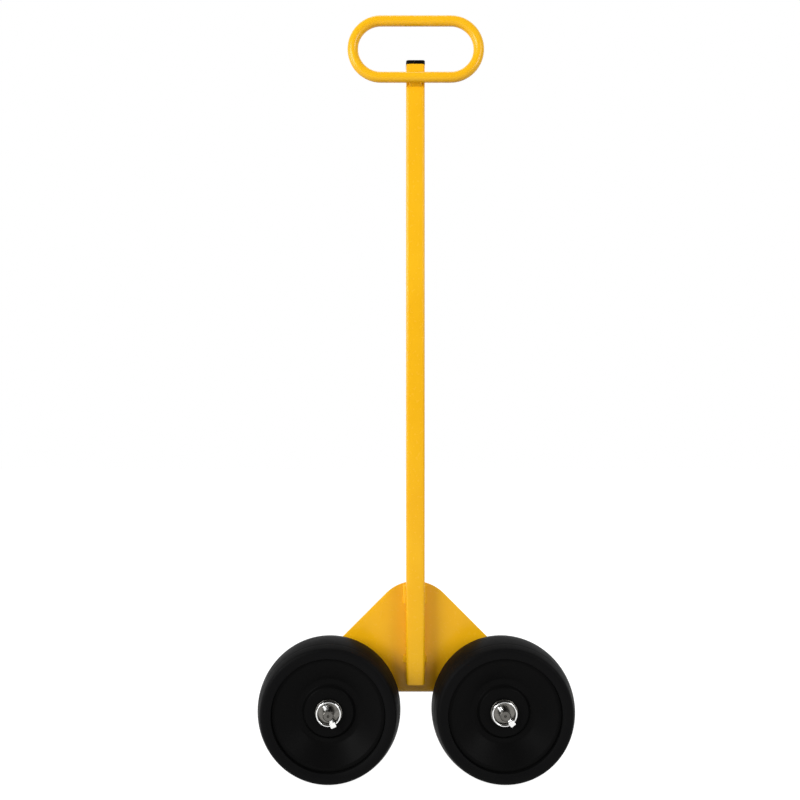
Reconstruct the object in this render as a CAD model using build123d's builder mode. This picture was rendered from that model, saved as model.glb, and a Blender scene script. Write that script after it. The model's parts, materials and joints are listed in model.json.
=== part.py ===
import math
import os

from build123d import *

# A door dolly: two wheels in line, a bent load bed beside them, and a push pole with a loop handle.
# X runs along the wheels' travel, the pole and wheels are at -Y, the bed is at +Y and the floor is z = 0.
# The origin is on the floor, in the middle of the dolly's length and depth. All sizes are millimetres.

# Wheels
wheel_diameter = 254.0
wheel_pole_gap = 10.5
tyre_width = 88.0
tyre_section_height = 27.7
tread_crown_drop = 9.5
tread_corner_radius = 7.0
sidewall_flat_height = 9.5
sidewall_rake = 3.0
sidewall_radius = 20.0
sidewall_foot_radius = 1.5
rim_seat_width = 62.0
rim_flange_height = 7.3
rim_flange_thickness = 3.0
rim_flange_face = 6.8
rim_edge_radius = 3.0
tyre_rim_gap = 0.5
barrel_thickness = 8.0
web_thickness = 11.0
web_front_depth = 13.0
web_inner_diameter = 112.0
dish_radius = 14.0
boss_root_diameter = 95.0
boss_face_diameter = 86.0
boss_radius = 3.5
boss_back_diameter = 60.0
hub_front_depth = 20.0
hub_back_depth = 30.0
rib_count = 8
rib_thickness = 4.0
rib_back_inset = 8.0

# Wheel bearings, two to a wheel
bearing_diameter = 34.925
bearing_width = 12.7
race_wall = 2.65
ball_diameter = 4.7625
ball_spacing = 5.0
ball_running_clearance = 0.1
bearing_shoulder = 2.5

# Axles, collars and washers
axle_diameter = 19.05
shaft_clearance = 0.05
axle_end_margin = 11.2
axle_end_chamfer = 1.5
axle_back_inset = 7.0
centre_drill_diameter = 5.0
centre_drill_depth = 2.0
washer_diameter = 47.6
washer_thickness = 3.0
running_gap = 0.3
collar_diameter = 28.0

# Lynch pins: a pin through each axle's end, with a hinged spring ring
pin_diameter = 9.525
pin_hole_clearance = 0.2
pin_tip_gap = 0.6
pin_tip_chamfer = 2.5
pin_head_length = 10.0
pin_head_width = 11.0
pin_head_depth = 9.5
pin_head_corner = 2.0
pin_head_angles = {"left": -66.0, "right": -51.0}
ring_diameter = 45.0
ring_wire_diameter = 3.6
ring_side_gap = 0.3
ring_hole_clearance = 0.15
ring_peg_length = 3.8

# Load bed, one bent plate
plate_thickness = 4.8
plate_gap = 9.0
bed_length = 400.0
bed_inner_depth = 95.0
bend_inner_radius = 5.0
bend_leg = 3.0
upright_height = 206.0
upright_apex_radius = 75.0
upright_end_height = 37.1
upright_corner_radius = 12.0
lip_height = 45.0
lip_corner_cut = 16.0

# Pole, its cap and the loop handle
pole_size = 34.0
pole_wall = 2.0
pole_corner_radius = 4.5
pole_length = 1121.0
pole_foot_rise = 25.5
cap_head_height = 7.5
cap_corner_radius = 1.5
cap_stem_length = 18.0
cap_stem_wall = 2.0
cap_clearance = 0.2
handle_tube_diameter = 19.05
handle_tube_wall = 2.0
handle_length = 245.0
handle_height = 120.0
handle_bar_drop = 27.5

# Welds
weld_leg = 5.0
pole_weld_length = 38.0
pole_weld_inset = 1.0
stitch_length = 16.0
stitch_rise = 30.0
handle_weld_leg = 4.0
axle_weld_leg = 6.0
axle_weld_length = 32.0
axle_weld_inset = 12.0

# Heights and depths worked out from the sizes above
axle_height = wheel_diameter / 2
wheelbase = wheel_diameter + pole_size + 2 * wheel_pole_gap
rim_radius = wheel_diameter / 2 - tyre_section_height
rim_seat_radius = rim_radius - rim_flange_height
axle_radius = axle_diameter / 2
plate_front_depth = tyre_width / 2 + plate_gap
bed_back_depth = plate_front_depth + bed_inner_depth + 2 * plate_thickness
wheel_plane_y = (tyre_width / 2 - bed_back_depth) / 2
plate_front_y = wheel_plane_y + plate_front_depth
bed_back_y = wheel_plane_y + bed_back_depth
bed_under_z = axle_height + axle_radius
bed_floor_z = bed_under_z + plate_thickness
bend_outer_radius = bend_inner_radius + plate_thickness
bend_top_z = bed_under_z + bend_outer_radius + bend_leg
upright_apex_z = bed_under_z + upright_height
pole_bottom_z = bed_under_z + pole_foot_rise
pole_top_z = pole_bottom_z + pole_length
pole_centre_y = plate_front_y - pole_size / 2
pole_front_y = plate_front_y - pole_size
handle_tube_radius = handle_tube_diameter / 2
handle_y = pole_front_y - handle_tube_radius
handle_bend_radius = handle_height / 2 - handle_tube_radius
handle_straight_half = handle_length / 2 - handle_height / 2
handle_low_z = pole_top_z - handle_bar_drop
bearing_radius = bearing_diameter / 2
race_bore_radius = axle_radius + shaft_clearance
pin_depth = hub_front_depth + 2 * running_gap + washer_thickness + pin_diameter / 2
axle_front_reach = pin_depth + axle_end_margin
side_sign = {"left": -1, "right": 1}


def write_piece(builder, node):
    builder.part.label = node
    export_step(builder.part, f"parts/{node}.step")


def wheel_centre(side, depth=0.0):
    return Vector(side_sign[side] * wheelbase / 2, wheel_plane_y + depth, axle_height)


# The section plane of a wheel: depth behind its middle, then radius, as its two coordinates
# and turned is the angle by which it is turned about the axle
def wheel_section(side, turned=0.0):
    return Plane(origin=wheel_centre(side), x_dir=(0, 1, 0), z_dir=(math.cos(turned), 0, math.sin(turned)))


def wheel_axis(side):
    return Axis(wheel_centre(side), (0, 1, 0))


# A plane square to the axle, whose normal points to the bed
def axle_plane(side, depth):
    return Plane(origin=wheel_centre(side, depth), x_dir=(1, 0, 0), z_dir=(0, 1, 0))


# A ring round the axle, from one depth to another
def make_axle_ring(side, node, front_depth, back_depth, inner_radius, outer_radius):
    with BuildPart() as ring:
        with BuildSketch(axle_plane(side, front_depth)):
            Circle(outer_radius)
            Circle(inner_radius, mode=Mode.SUBTRACT)
        extrude(amount=back_depth - front_depth)
    write_piece(ring, node)


# The tyre is solid rubber with a crowned tread, raked sidewalls and a flat seat on the rim
def make_tyre(side):
    tread_edge_radius = wheel_diameter / 2 - tread_crown_drop
    foot_radius = rim_radius + tyre_rim_gap
    foot_depth = tyre_width / 2 - sidewall_rake
    seat_depth = rim_seat_width / 2
    sidewall = [
        ((tyre_width / 2, tread_edge_radius), 0),
        ((tyre_width / 2, tread_edge_radius - sidewall_flat_height), sidewall_radius),
        ((foot_depth, foot_radius), sidewall_foot_radius),
        ((seat_depth, foot_radius), 0),
        ((seat_depth, rim_seat_radius), 0),
    ]
    with BuildPart() as tyre:
        with BuildSketch(wheel_section(side)) as section:
            with BuildLine():
                ThreePointArc(
                    (-tyre_width / 2, tread_edge_radius),
                    (0, wheel_diameter / 2),
                    (tyre_width / 2, tread_edge_radius),
                )
                for mirrored in (1, -1):
                    FilletPolyline(
                        [(mirrored * depth, radius) for (depth, radius), _ in sidewall],
                        radius=[corner for _, corner in sidewall[1:-1]],
                    )
                Line((-seat_depth, rim_seat_radius), (seat_depth, rim_seat_radius))
            make_face()
            fillet(section.vertices().group_by(Axis.Y)[-1], tread_corner_radius)
        revolve(axis=wheel_axis(side))
    write_piece(tyre, f"{side}_tyre")


# The moulded wheel centre: a rim barrel, a dished web, smooth in front and ribbed behind, and a hub boss
def make_wheel_centre(side):
    flange_depth = rim_seat_width / 2 + rim_flange_thickness
    dish_outer_radius = rim_radius - rim_flange_face
    web_inner_radius = web_inner_diameter / 2
    barrel_inner_radius = rim_seat_radius - barrel_thickness
    dish_slope = (flange_depth - web_front_depth) / (dish_outer_radius - web_inner_radius)
    barrel_web_depth = web_front_depth + dish_slope * (barrel_inner_radius - web_inner_radius)
    shoulder_radius = bearing_radius - bearing_shoulder
    boss_back_radius = boss_back_diameter / 2
    outline = [
        ((-rim_seat_width / 2, rim_seat_radius), 0),
        ((-rim_seat_width / 2, rim_radius), 0),
        ((-flange_depth, rim_radius), 0),
        ((-flange_depth, dish_outer_radius), rim_edge_radius),
        ((-web_front_depth, web_inner_radius), dish_radius),
        ((-web_front_depth, boss_root_diameter / 2), boss_radius),
        ((-hub_front_depth, boss_face_diameter / 2), boss_radius),
        ((-hub_front_depth, bearing_radius), 0),
        ((bearing_width - hub_front_depth, bearing_radius), 0),
        ((bearing_width - hub_front_depth, shoulder_radius), 0),
        ((hub_back_depth - bearing_width, shoulder_radius), 0),
        ((hub_back_depth - bearing_width, bearing_radius), 0),
        ((hub_back_depth, bearing_radius), 0),
        ((hub_back_depth, boss_back_radius), 0),
        ((web_thickness - web_front_depth, boss_back_radius), 0),
        ((web_thickness - web_front_depth, web_inner_radius), 0),
        ((web_thickness - barrel_web_depth, barrel_inner_radius), 0),
        ((flange_depth, barrel_inner_radius), 0),
        ((flange_depth, rim_radius), 0),
        ((rim_seat_width / 2, rim_radius), 0),
        ((rim_seat_width / 2, rim_seat_radius), 0),
    ]
    rib_root_depth = web_thickness / 2
    rib_foot = barrel_thickness / 2
    with BuildPart() as centre:
        with BuildSketch(wheel_section(side)):
            with BuildLine():
                points = [point for point, _ in outline]
                FilletPolyline(points, radius=[corner for _, corner in outline], close=True)
            make_face()
        revolve(axis=wheel_axis(side))
        for index in range(rib_count):
            with BuildSketch(wheel_section(side, 2 * math.pi * index / rib_count)):
                with BuildLine():
                    Polyline(
                        (rib_root_depth - web_front_depth, boss_back_radius - rib_foot),
                        (rib_root_depth - web_front_depth, web_inner_radius),
                        (rib_root_depth - barrel_web_depth, barrel_inner_radius + rib_foot),
                        (flange_depth - rib_back_inset, barrel_inner_radius + rib_foot),
                        (hub_back_depth - rib_back_inset, boss_back_radius - rib_foot),
                        close=True,
                    )
                make_face()
            extrude(amount=rib_thickness / 2, both=True)
    write_piece(centre, f"{side}_wheel_centre")


# One ball bearing: the outer race is pressed into the hub, the inner race sits on the axle
def make_bearing(side, position, front_depth):
    middle_depth = front_depth + bearing_width / 2
    inner_race_radius = race_bore_radius + race_wall
    outer_race_radius = bearing_radius - race_wall
    pitch_radius = (inner_race_radius + outer_race_radius) / 2
    groove_radius = ball_diameter / 2 + ball_running_clearance
    races = {
        "outer_race": (outer_race_radius, bearing_radius),
        "inner_race": (race_bore_radius, inner_race_radius),
    }
    for race_name, (low_radius, high_radius) in races.items():
        with BuildPart() as race:
            with BuildSketch(wheel_section(side)):
                with Locations((middle_depth, (low_radius + high_radius) / 2)):
                    Rectangle(bearing_width, high_radius - low_radius)
                with Locations((middle_depth, pitch_radius)):
                    Circle(groove_radius, mode=Mode.SUBTRACT)
            revolve(axis=wheel_axis(side))
        write_piece(race, f"{side}_{position}_{race_name}")
    ball_count = math.floor(2 * math.pi * pitch_radius / ball_spacing)
    with BuildPart() as balls:
        with Locations(axle_plane(side, middle_depth)):
            with PolarLocations(pitch_radius, ball_count):
                Sphere(ball_diameter / 2)
    write_piece(balls, f"{side}_{position}_balls")


# The unit vector from the axle's centre to the head of its lynch pin, and the one across it
def pin_directions(side):
    angle = math.radians(pin_head_angles[side])
    along = Vector(math.cos(angle), 0, math.sin(angle))
    across = Vector(-math.sin(angle), 0, math.cos(angle))
    return along, across


# Half the angle that the head takes out of the ring, and how far the ring's pegs are from the axle's centre
def ring_hinge():
    ring_radius = (ring_diameter - ring_wire_diameter) / 2
    half_angle = math.asin((pin_head_width / 2 + ring_side_gap) / ring_radius)
    return ring_radius, half_angle, ring_radius * math.cos(half_angle)


def make_axle(side):
    along, _ = pin_directions(side)
    back_depth = bed_back_depth - axle_back_inset
    with BuildPart() as axle:
        with BuildSketch(axle_plane(side, -axle_front_reach)):
            Circle(axle_radius)
        extrude(amount=axle_front_reach + back_depth)
        chamfer(axle.edges().filter_by(GeomType.CIRCLE), axle_end_chamfer)
        with BuildSketch(Plane(origin=wheel_centre(side, -pin_depth), z_dir=along)):
            Circle(pin_diameter / 2 + pin_hole_clearance)
        extrude(amount=axle_diameter, both=True, mode=Mode.SUBTRACT)
        with BuildSketch(axle_plane(side, -axle_front_reach)):
            Circle(centre_drill_diameter / 2)
        extrude(
            amount=centre_drill_depth,
            taper=math.degrees(math.atan(centre_drill_diameter / 3 / centre_drill_depth)),
            mode=Mode.SUBTRACT,
        )
    write_piece(axle, f"{side}_axle")


def make_lynch_pin(side):
    along, across = pin_directions(side)
    _, _, hinge_reach = ring_hinge()
    centre = wheel_centre(side, -pin_depth)
    pin_plane = Plane(origin=centre, x_dir=along, z_dir=(0, -1, 0))
    tip_reach = ring_diameter / 2 - ring_wire_diameter - pin_tip_gap
    with BuildPart() as pin:
        with BuildSketch(Plane(origin=centre - along * tip_reach, z_dir=along)):
            Circle(pin_diameter / 2)
        extrude(amount=tip_reach + hinge_reach)
        chamfer(pin.edges().filter_by(GeomType.CIRCLE).sort_by(Axis(centre, along))[0], pin_tip_chamfer)
        with BuildSketch(pin_plane):
            with Locations((hinge_reach, 0)):
                RectangleRounded(pin_head_length, pin_head_width, pin_head_corner)
        extrude(amount=pin_head_depth / 2, both=True)
        with BuildSketch(Plane(origin=centre + along * hinge_reach, z_dir=across)):
            Circle(ring_wire_diameter / 2 + ring_hole_clearance)
        extrude(amount=pin_head_width, both=True, mode=Mode.SUBTRACT)
    write_piece(pin, f"{side}_lynch_pin")


# The ring is a round wire, open at the pin's head, with a peg at each end in the head's cross hole
def make_lynch_ring(side):
    along, across = pin_directions(side)
    ring_radius, half_angle, hinge_reach = ring_hinge()
    wire_radius = ring_wire_diameter / 2
    centre = wheel_centre(side, -pin_depth)
    end_reach = pin_head_width / 2 + ring_side_gap
    start = centre + along * hinge_reach + across * end_reach
    tangent = across * math.cos(half_angle) - along * math.sin(half_angle)
    with BuildPart() as ring:
        with BuildSketch(Plane(origin=start, z_dir=tangent)):
            Circle(wire_radius)
        revolve(axis=Axis(centre, (0, -1, 0)), revolution_arc=360 - 2 * math.degrees(half_angle))
        for end in (-1, 1):
            bend = centre + along * hinge_reach + across * (end * end_reach)
            with Locations(bend):
                Sphere(wire_radius)
            with BuildSketch(Plane(origin=bend, z_dir=across * -end)):
                Circle(wire_radius)
            extrude(amount=ring_peg_length)
    write_piece(ring, f"{side}_lynch_ring")


# The bed is one plate bent twice: a pointed upright with a round top, the floor, and a low lip
def make_bed_plate():
    half_length = bed_length / 2
    corner_z = bed_under_z + upright_end_height
    apex_centre_z = upright_apex_z - upright_apex_radius
    rise = apex_centre_z - corner_z
    tangent_angle = math.asin(upright_apex_radius / math.hypot(rise, half_length))
    flank_angle = math.atan2(rise, half_length) + tangent_angle
    sharp_apex_z = corner_z + half_length * math.tan(flank_angle)
    lip_top_z = bed_floor_z + lip_height
    with BuildPart() as bed:
        with BuildSketch(Plane(origin=(0, plate_front_y, 0), x_dir=(1, 0, 0), z_dir=(0, -1, 0))):
            with BuildLine():
                flank = FilletPolyline(
                    (-half_length, bend_top_z),
                    (-half_length, corner_z),
                    (0, sharp_apex_z),
                    (half_length, corner_z),
                    (half_length, bend_top_z),
                    radius=[upright_corner_radius, upright_apex_radius, upright_corner_radius],
                )
                Line(flank @ 1, flank @ 0)
            make_face()
        extrude(amount=-plate_thickness)
        with BuildSketch(Plane.YZ):
            with BuildLine():
                outer = FilletPolyline(
                    (plate_front_y, bend_top_z),
                    (plate_front_y, bed_under_z),
                    (bed_back_y, bed_under_z),
                    (bed_back_y, bend_top_z),
                    radius=bend_outer_radius,
                )
                inner = FilletPolyline(
                    (plate_front_y + plate_thickness, bend_top_z),
                    (plate_front_y + plate_thickness, bed_floor_z),
                    (bed_back_y - plate_thickness, bed_floor_z),
                    (bed_back_y - plate_thickness, bend_top_z),
                    radius=bend_inner_radius,
                )
                Line(outer @ 0, inner @ 0)
                Line(outer @ 1, inner @ 1)
            make_face()
        extrude(amount=half_length, both=True)
        with BuildSketch(Plane(origin=(0, bed_back_y, 0), x_dir=(1, 0, 0), z_dir=(0, -1, 0))):
            with BuildLine():
                edge = Polyline(
                    (-half_length, bend_top_z),
                    (-half_length, lip_top_z - lip_corner_cut),
                    (lip_corner_cut - half_length, lip_top_z),
                    (half_length - lip_corner_cut, lip_top_z),
                    (half_length, lip_top_z - lip_corner_cut),
                    (half_length, bend_top_z),
                )
                Line(edge @ 1, edge @ 0)
            make_face()
        extrude(amount=plate_thickness)
    write_piece(bed, "bed_plate")


def pole_section(size, corner_radius, **options):
    with Locations((0, pole_centre_y)):
        RectangleRounded(size, size, corner_radius, **options)


def make_pole():
    with BuildPart() as pole:
        with BuildSketch(Plane.XY.offset(pole_bottom_z)):
            pole_section(pole_size, pole_corner_radius)
            pole_section(pole_size - 2 * pole_wall, pole_corner_radius - pole_wall, mode=Mode.SUBTRACT)
        extrude(amount=pole_length)
    write_piece(pole, "pole")


# The cap has a head over the tube's end and a hollow stem inside the tube
def make_pole_cap():
    stem_size = pole_size - 2 * pole_wall - 2 * cap_clearance
    stem_corner = pole_corner_radius - pole_wall - cap_clearance
    hollow_corner = max(stem_corner - cap_stem_wall, cap_clearance)
    with BuildPart() as cap:
        with BuildSketch(Plane.XY.offset(pole_top_z)):
            pole_section(pole_size, pole_corner_radius)
        extrude(amount=cap_head_height)
        fillet(cap.edges().group_by(Axis.Z)[-1], cap_corner_radius)
        with BuildSketch(Plane.XY.offset(pole_top_z)):
            pole_section(stem_size, stem_corner)
            pole_section(stem_size - 2 * cap_stem_wall, hollow_corner, mode=Mode.SUBTRACT)
        extrude(amount=-cap_stem_length)
    write_piece(cap, "pole_cap")


# The handle is one round tube bent to a closed loop, with its lower bar across the pole's front
def make_handle_loop():
    high_z = handle_low_z + 2 * handle_bend_radius
    middle_z = handle_low_z + handle_bend_radius
    with BuildPart() as handle:
        with BuildLine(Plane(origin=(0, handle_y, 0), x_dir=(1, 0, 0), z_dir=(0, -1, 0))) as loop:
            Line((-handle_straight_half, handle_low_z), (handle_straight_half, handle_low_z))
            CenterArc((handle_straight_half, middle_z), handle_bend_radius, -90, 180)
            Line((handle_straight_half, high_z), (-handle_straight_half, high_z))
            CenterArc((-handle_straight_half, middle_z), handle_bend_radius, 90, 180)
        with BuildSketch(Plane(origin=loop.line @ 0, z_dir=loop.line % 0)):
            Circle(handle_tube_radius)
            Circle(handle_tube_radius - handle_tube_wall, mode=Mode.SUBTRACT)
        sweep()
    write_piece(handle, "handle_loop")


# Fillet welds up both sides of the pole on the bed's upright: a long one at the top and a stitch lower down
def make_pole_welds():
    weld_reach = pole_size / 2 + weld_leg
    apex_fall = upright_apex_radius - math.sqrt(upright_apex_radius**2 - weld_reach**2)
    top_z = upright_apex_z - apex_fall - pole_weld_inset
    runs = [
        (top_z - pole_weld_length, pole_weld_length),
        (pole_bottom_z + stitch_rise, stitch_length),
    ]
    with BuildPart() as welds:
        for low_z, length in runs:
            with BuildSketch(Plane.XY.offset(low_z)):
                for side in (-1, 1):
                    with BuildLine():
                        Polyline(
                            (side * (pole_size / 2 - pole_corner_radius), plate_front_y),
                            (side * weld_reach, plate_front_y),
                            (side * pole_size / 2, plate_front_y - weld_leg),
                            (side * (pole_size / 2 - pole_corner_radius), plate_front_y - weld_leg),
                            close=True,
                        )
                    make_face()
                pole_section(pole_size, pole_corner_radius, mode=Mode.SUBTRACT)
            extrude(amount=length)
    write_piece(welds, "pole_welds")


# Fillet welds above and below the handle's lower bar, along the flat of the pole's front
def make_handle_welds():
    reach = handle_tube_radius + handle_weld_leg
    flat_half = pole_size / 2 - pole_corner_radius
    with BuildPart() as welds:
        with BuildSketch(Plane.YZ):
            for side in (-1, 1):
                with BuildLine():
                    Polyline(
                        (pole_front_y, handle_low_z),
                        (pole_front_y, handle_low_z + side * reach),
                        (handle_y, handle_low_z + side * handle_tube_radius),
                        (handle_y, handle_low_z),
                        close=True,
                    )
                make_face()
            with Locations((handle_y, handle_low_z)):
                Circle(handle_tube_radius, mode=Mode.SUBTRACT)
        extrude(amount=flat_half, both=True)
    write_piece(welds, "handle_welds")


# Fillet welds along both sides of an axle, under the bed's floor, near its front and back
def make_axle_welds(side):
    centre = wheel_centre(side)
    reach = axle_radius + axle_weld_leg
    starts = [
        plate_front_depth + bend_outer_radius,
        bed_back_depth - bend_outer_radius - axle_weld_inset - axle_weld_length,
    ]
    with BuildPart() as welds:
        for start in starts:
            with BuildSketch(Plane(origin=(0, wheel_plane_y + start, 0), x_dir=(1, 0, 0), z_dir=(0, -1, 0))):
                for edge in (-1, 1):
                    with BuildLine():
                        Polyline(
                            (centre.X, bed_under_z),
                            (centre.X + edge * reach, bed_under_z),
                            (centre.X + edge * axle_radius, axle_height),
                            (centre.X, axle_height),
                            close=True,
                        )
                    make_face()
                with Locations((centre.X, axle_height)):
                    Circle(axle_radius, mode=Mode.SUBTRACT)
            extrude(amount=-axle_weld_length)
    write_piece(welds, f"{side}_axle_welds")


os.makedirs("parts", exist_ok=True)
make_bed_plate()
make_pole()
make_pole_cap()
make_handle_loop()
make_pole_welds()
make_handle_welds()
for side in side_sign:
    make_axle(side)
    make_axle_welds(side)
    make_tyre(side)
    make_wheel_centre(side)
    make_bearing(side, "front", -hub_front_depth)
    make_bearing(side, "back", hub_back_depth - bearing_width)
    make_axle_ring(
        side,
        f"{side}_bearing_spacer",
        bearing_width - hub_front_depth,
        hub_back_depth - bearing_width,
        race_bore_radius,
        race_bore_radius + race_wall,
    )
    make_axle_ring(
        side,
        f"{side}_front_washer",
        -hub_front_depth - running_gap - washer_thickness,
        -hub_front_depth - running_gap,
        race_bore_radius,
        washer_diameter / 2,
    )
    make_axle_ring(
        side,
        f"{side}_back_washer",
        hub_back_depth + running_gap,
        hub_back_depth + running_gap + washer_thickness,
        race_bore_radius,
        washer_diameter / 2,
    )
    make_axle_ring(
        side,
        f"{side}_axle_collar",
        hub_back_depth + running_gap + washer_thickness,
        plate_front_depth,
        race_bore_radius,
        collar_diameter / 2,
    )
    make_lynch_pin(side)
    make_lynch_ring(side)
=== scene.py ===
import json
import math

import bmesh
import bpy
import numpy as np
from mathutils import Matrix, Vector


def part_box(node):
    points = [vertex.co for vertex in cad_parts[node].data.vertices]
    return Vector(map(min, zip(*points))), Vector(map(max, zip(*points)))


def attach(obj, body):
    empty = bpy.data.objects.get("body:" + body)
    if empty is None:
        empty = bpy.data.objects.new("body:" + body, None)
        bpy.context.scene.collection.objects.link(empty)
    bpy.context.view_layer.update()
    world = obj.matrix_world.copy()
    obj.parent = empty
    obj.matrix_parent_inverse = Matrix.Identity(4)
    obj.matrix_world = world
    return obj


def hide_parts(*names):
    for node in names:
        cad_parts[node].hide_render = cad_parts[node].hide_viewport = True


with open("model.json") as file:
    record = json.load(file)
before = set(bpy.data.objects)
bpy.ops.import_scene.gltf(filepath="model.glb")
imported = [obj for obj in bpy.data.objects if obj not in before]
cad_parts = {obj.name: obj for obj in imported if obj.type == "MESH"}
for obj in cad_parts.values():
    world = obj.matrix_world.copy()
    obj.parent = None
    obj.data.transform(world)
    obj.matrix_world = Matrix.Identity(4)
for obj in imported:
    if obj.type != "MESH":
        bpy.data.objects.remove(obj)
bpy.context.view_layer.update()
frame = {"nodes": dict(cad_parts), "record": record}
record = frame["record"]
print("frame loaded:", len(frame["nodes"]), "nodes")

# Shapes are worked out in millimetres, as on a drawing, and go into the meshes in metres.
# X runs along the wheels' travel, the wheels and pole are at -Y, the load bed is at +Y.
millimetre = 0.001
sides = {"left": -1, "right": 1}


def nodeBox(node):
    # lowest and highest corner of a node, in millimetres
    low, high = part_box(node)
    return np.array(low) / millimetre, np.array(high) / millimetre


def nodeMiddle(node):
    low, high = nodeBox(node)
    return (low + high) / 2


# ---- surfaces ----

def roundCorners(corners, radii, closed=False, steps=7):
    # Each corner becomes an arc tangent to its two sides: its middle lies on the inner side of the turn, one radius
    # from both sides, and it starts radius * tan(turn / 2) before the corner. A radius of 0 keeps the corner.
    points = np.asarray(corners, float)
    radii = np.asarray(radii, float)
    into = points - np.roll(points, 1, 0)
    out = np.roll(points, -1, 0) - points
    into /= np.linalg.norm(into, axis=1)[:, None]
    out /= np.linalg.norm(out, axis=1)[:, None]
    turn = np.arctan2(into[:, 0] * out[:, 1] - into[:, 1] * out[:, 0], (into * out).sum(1))
    radii = radii if closed else np.where(np.arange(len(points)) % (len(points) - 1) == 0, 0, radii)
    inner = np.sign(turn)[:, None] * np.stack([-into[:, 1], into[:, 0]], 1)
    middle = points - into * (radii * np.tan(np.abs(turn) / 2))[:, None] + inner * radii[:, None]
    angle = turn[:, None] * np.linspace(0, 1, steps)[None, :]
    arm = -inner * radii[:, None]
    arcX = middle[:, :1] + arm[:, :1] * np.cos(angle) - arm[:, 1:] * np.sin(angle)
    arcY = middle[:, 1:] + arm[:, :1] * np.sin(angle) + arm[:, 1:] * np.cos(angle)
    line = np.stack([arcX, arcY], -1).reshape(-1, 2)
    moved = np.linalg.norm(line - np.roll(line, 1, 0), axis=1) > 1e-6
    moved[0] = moved[0] or not closed
    return line[moved]


def turnedSurface(profile, origin, axis, steps):
    # A profile of (distance along the axis, radius) turned about the axis:
    # point = origin + distance * axis + radius * (cos(angle) * first + sin(angle) * second)
    axis = np.asarray(axis, float) / np.linalg.norm(axis)
    first = np.cross(axis, [0.0, 1.0, 0.0] if abs(axis[1]) < 0.9 else [1.0, 0.0, 0.0])
    first /= np.linalg.norm(first)
    second = np.cross(axis, first)
    angle = 2 * math.pi * np.arange(steps) / steps
    ring = np.cos(angle)[:, None] * first + np.sin(angle)[:, None] * second
    profile = np.asarray(profile, float)
    return np.asarray(origin) + profile[:, :1, None] * axis + profile[:, 1:, None] * ring[None]


def sweptTube(path, radii, planeNormal, around, closed=False):
    # A circle carried along a flat path: point = path + radius * (cos(angle) * side + sin(angle) * planeNormal),
    # where side lies in the path's plane, square to its direction
    path = np.asarray(path, float)
    if closed:
        ahead = np.roll(path, -1, 0) - np.roll(path, 1, 0)
    else:
        ahead = np.gradient(path, axis=0)
    ahead /= np.maximum(np.linalg.norm(ahead, axis=1), 1e-9)[:, None]
    normal = np.asarray(planeNormal, float)
    side = np.cross(normal, ahead)
    angle = 2 * math.pi * np.arange(around) / around
    circle = np.cos(angle)[None, :, None] * side[:, None] + np.sin(angle)[None, :, None] * normal
    return path[:, None] + np.asarray(radii, float)[:, None, None] * circle


def roundedLoops(rows, middle, first, second, third, steps=6, crown=0.0):
    # Rounded rectangles stacked along the third direction. A row is (half width, half height, corner radius, level):
    # point = corner middle + radius * direction. The sides swell by crown at their middle, where it isn't 0.
    rows = np.asarray(rows, float)
    angle = (np.arange(4)[:, None] * 90 + np.linspace(0, 90, steps)[None, :]) * math.pi / 180
    signX = np.repeat([1, -1, -1, 1], steps)
    signY = np.repeat([1, 1, -1, -1], steps)
    angle = angle.ravel()
    along = (rows[:, :1] - rows[:, 2:3]) * signX + rows[:, 2:3] * np.cos(angle)
    across = (rows[:, 1:2] - rows[:, 2:3]) * signY + rows[:, 2:3] * np.sin(angle)
    if crown:
        share = np.linspace(0, 1, 9)[1:-1]
        bulge = crown * 4 * share * (1 - share)
        ends = [(steps * k - 1) % (4 * steps) for k in range(1, 5)]
        outward = [(0, 1), (-1, 0), (0, -1), (1, 0)]
        pieces = []
        for k, end in enumerate(ends):
            start = (end + 1) % (4 * steps)
            runX = along[:, end, None] * (1 - share) + along[:, start, None] * share + outward[k][0] * bulge
            runY = across[:, end, None] * (1 - share) + across[:, start, None] * share + outward[k][1] * bulge
            corner = slice(k * steps, (k + 1) * steps)
            pieces.append((np.hstack([along[:, corner], runX]), np.hstack([across[:, corner], runY])))
        along = np.hstack([piece[0] for piece in pieces])
        across = np.hstack([piece[1] for piece in pieces])
    first, second, third = (np.asarray(v, float) for v in (first, second, third))
    level = rows[:, 3][:, None, None] * third
    return np.asarray(middle) + along[..., None] * first + across[..., None] * second + level


def weldBead(start, end, footA, footB, root, swell=0.9, pitch=2.6, ripple=0.5, taper=3.0):
    # A bead carried from start to end. Its face runs from footA to footB and swells between them by a half sine,
    # more at each ripple; ripples are crescents, so their phase lags at the face's middle. The section shrinks
    # to the root at both ends as a quarter circle does.
    start, end, footA, footB, root = (np.asarray(v, float) for v in (start, end, footA, footB, root))
    length = np.linalg.norm(end - start)
    count = int(length / pitch) * 8 + 1
    place = np.linspace(0, length, count)
    across = np.linspace(0, 1, 9)
    normal = (footA + footB) / 2 - root
    normal /= np.linalg.norm(normal)
    phase = place[:, None] / pitch + 0.45 * np.sin(math.pi * across)[None, :]
    height = swell * np.sin(math.pi * across)[None, :] * (1 + ripple * np.abs(np.sin(math.pi * phase)))
    face = footA * (1 - across)[:, None] + footB * across[:, None]
    section = face[None] + height[..., None] * normal
    section = np.concatenate([section, np.broadcast_to(root, (count, 1, 3))], 1) - root
    near = np.clip(np.minimum(place, length - place) / taper, 0, 1)
    size = np.sqrt(1 - (1 - near) ** 2)
    line = start + (place / length)[:, None] * (end - start)
    return line[:, None] + root + section * size[:, None, None]


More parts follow.
